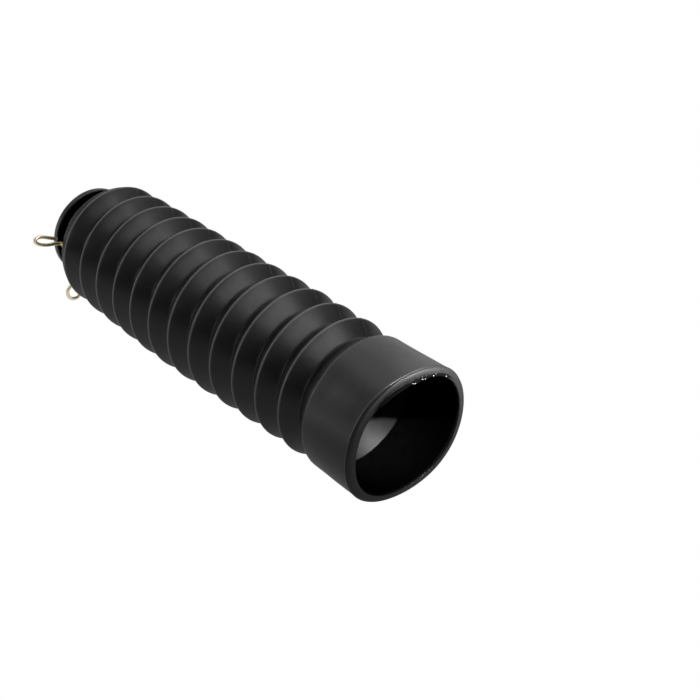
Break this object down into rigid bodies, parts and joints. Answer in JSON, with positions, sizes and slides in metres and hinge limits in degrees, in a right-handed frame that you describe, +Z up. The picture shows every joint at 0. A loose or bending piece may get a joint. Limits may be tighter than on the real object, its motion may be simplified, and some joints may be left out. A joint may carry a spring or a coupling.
{
  "type": "fork gaiter",
  "caption": "Ribbed rubber fork gaiter: a folded tube with a plain wide cuff at one end and a grooved neck with a wire spring clip at the other.",
  "frame": {"origin": "middle of the whole part's bounding box, at its lowest point", "axes": "the gaiter lies on its side: +X along its axis towards the mouth of the wide cuff, +Z up, and the clip's side ear points towards -Y"},
  "size_m": [0.2194, 0.0666, 0.0623],
  "materials": {
    "rubber": "satin",
    "wire": "yellow zinc plated, satin"
  },
  "bodies": {
    "root": {"bellows": "rubber", "neck_clip": "wire"}
  },
  "joints": []
}
